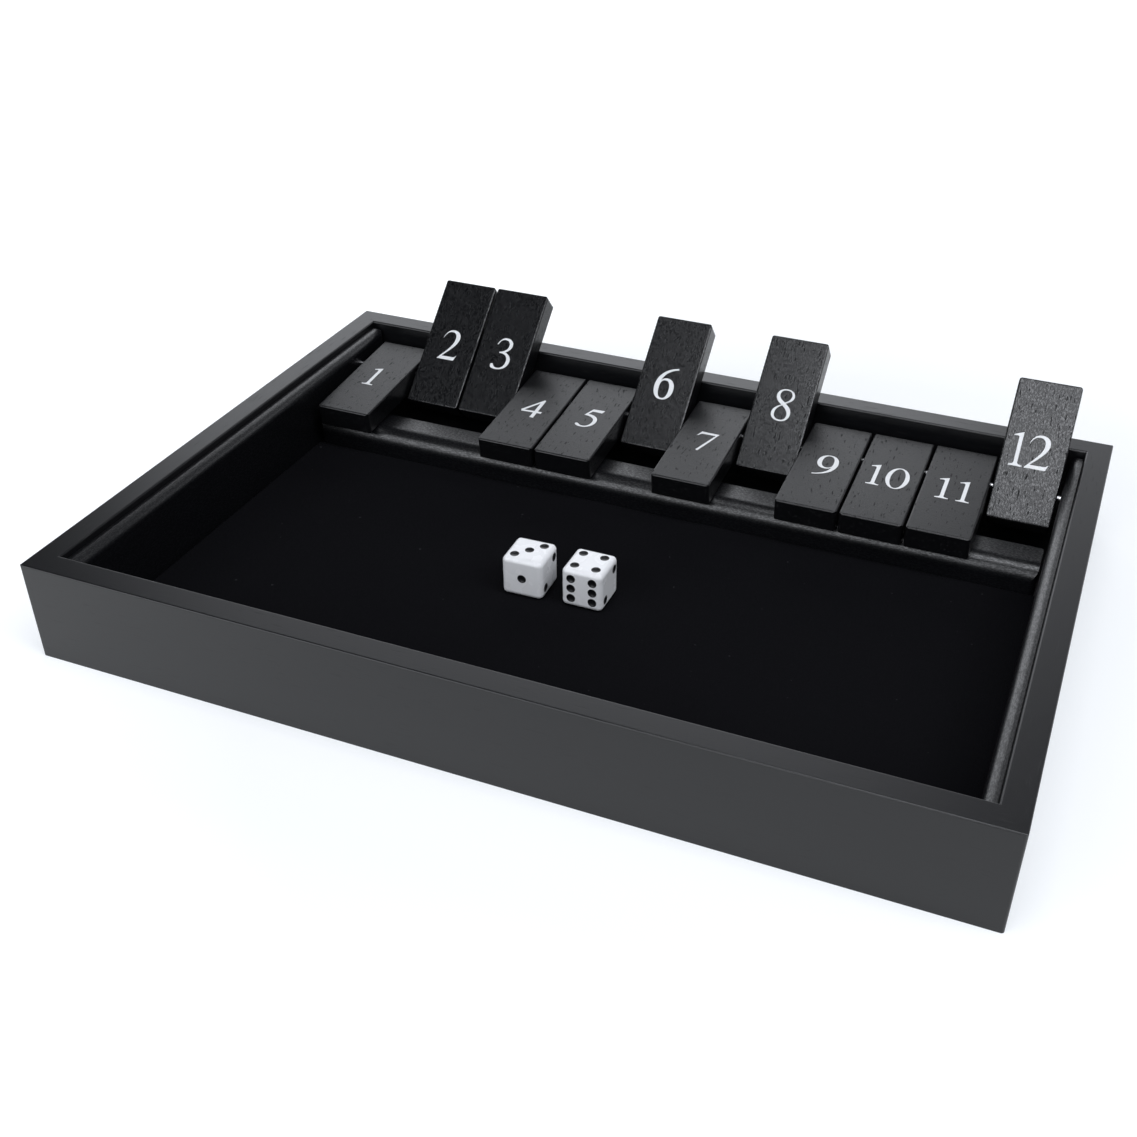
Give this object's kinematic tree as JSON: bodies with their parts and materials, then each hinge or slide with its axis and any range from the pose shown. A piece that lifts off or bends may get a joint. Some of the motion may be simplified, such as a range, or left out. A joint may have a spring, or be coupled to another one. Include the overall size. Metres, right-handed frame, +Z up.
{
  "type": "shut the box game",
  "caption": "Open black wooden game tray with numbered wooden tiles that tip on a steel hinge rod between the side rails, a rest for the lowered tiles, a felt floor and loose dice.",
  "frame": {"origin": "on the table, at the middle of the base board's underside, which is the middle of the tray", "axes": "+X to the player's right along the row of tiles, +Y towards the wall behind the tiles, +Z up"},
  "size_m": [0.34, 0.2427, 0.0605],
  "materials": {
    "black_wood": "black stain under a thin satin lacquer, with the fine grain showing",
    "tile_wood": "black stain under a thin satin lacquer, with fine pores",
    "black_felt": "short black felt",
    "steel": "bright drawn wire",
    "white_die": "polished white",
    "pip_black": "black paint in the pips",
    "white_ink": "opaque white printed ink"
  },
  "bodies": {
    "tray": {"front_wall": "black_wood", "back_wall": "black_wood", "left_wall": "black_wood", "right_wall": "black_wood", "base_board": "black_wood", "felt_mat": "black_felt", "left_rail": "black_wood", "right_rail": "black_wood", "tile_rest": "black_wood", "hinge_rod": "steel"},
    "tile_1": {"tile_1": "tile_wood"},
    "tile_2": {"tile_2": "tile_wood"},
    "tile_3": {"tile_3": "tile_wood"},
    "tile_4": {"tile_4": "tile_wood"},
    "tile_5": {"tile_5": "tile_wood"},
    "tile_6": {"tile_6": "tile_wood"},
    "tile_7": {"tile_7": "tile_wood"},
    "tile_8": {"tile_8": "tile_wood"},
    "tile_9": {"tile_9": "tile_wood"},
    "tile_10": {"tile_10": "tile_wood"},
    "tile_11": {"tile_11": "tile_wood"},
    "tile_12": {"tile_12": "tile_wood"},
    "die_left": {"die_left": "white_die"},
    "die_right": {"die_right": "white_die"}
  },
  "joints": [
    {"name": "tile_1_hinge", "type": "hinge", "parent": "tray", "child": "tile_1", "pos_m": [0, 0.088, 0.0272], "axis": [-1, 0, 0], "range_deg": [0, 143]},
    {"name": "tile_2_hinge", "type": "hinge", "parent": "tray", "child": "tile_2", "pos_m": [0, 0.088, 0.0272], "axis": [-1, 0, 0], "range_deg": [-143, 0]},
    {"name": "tile_3_hinge", "type": "hinge", "parent": "tray", "child": "tile_3", "pos_m": [0, 0.088, 0.0272], "axis": [-1, 0, 0], "range_deg": [-143, 0]},
    {"name": "tile_4_hinge", "type": "hinge", "parent": "tray", "child": "tile_4", "pos_m": [0, 0.088, 0.0272], "axis": [-1, 0, 0], "range_deg": [0, 143]},
    {"name": "tile_5_hinge", "type": "hinge", "parent": "tray", "child": "tile_5", "pos_m": [0, 0.088, 0.0272], "axis": [-1, 0, 0], "range_deg": [0, 143]},
    {"name": "tile_6_hinge", "type": "hinge", "parent": "tray", "child": "tile_6", "pos_m": [0, 0.088, 0.0272], "axis": [-1, 0, 0], "range_deg": [-143, 0]},
    {"name": "tile_7_hinge", "type": "hinge", "parent": "tray", "child": "tile_7", "pos_m": [0, 0.088, 0.0272], "axis": [-1, 0, 0], "range_deg": [0, 143]},
    {"name": "tile_8_hinge", "type": "hinge", "parent": "tray", "child": "tile_8", "pos_m": [0, 0.088, 0.0272], "axis": [-1, 0, 0], "range_deg": [-143, 0]},
    {"name": "tile_9_hinge", "type": "hinge", "parent": "tray", "child": "tile_9", "pos_m": [0, 0.088, 0.0272], "axis": [-1, 0, 0], "range_deg": [0, 143]},
    {"name": "tile_10_hinge", "type": "hinge", "parent": "tray", "child": "tile_10", "pos_m": [0, 0.088, 0.0272], "axis": [-1, 0, 0], "range_deg": [0, 143]},
    {"name": "tile_11_hinge", "type": "hinge", "parent": "tray", "child": "tile_11", "pos_m": [0, 0.088, 0.0272], "axis": [-1, 0, 0], "range_deg": [0, 143]},
    {"name": "tile_12_hinge", "type": "hinge", "parent": "tray", "child": "tile_12", "pos_m": [0, 0.088, 0.0272], "axis": [-1, 0, 0], "range_deg": [-143, 0]},
    {"name": "die_left_lift", "type": "slide", "parent": "tray", "child": "die_left", "axis": [0, 0, 1], "range_m": [0, 0.06]},
    {"name": "die_right_lift", "type": "slide", "parent": "tray", "child": "die_right", "axis": [0, 0, 1], "range_m": [0, 0.06]}
  ]
}
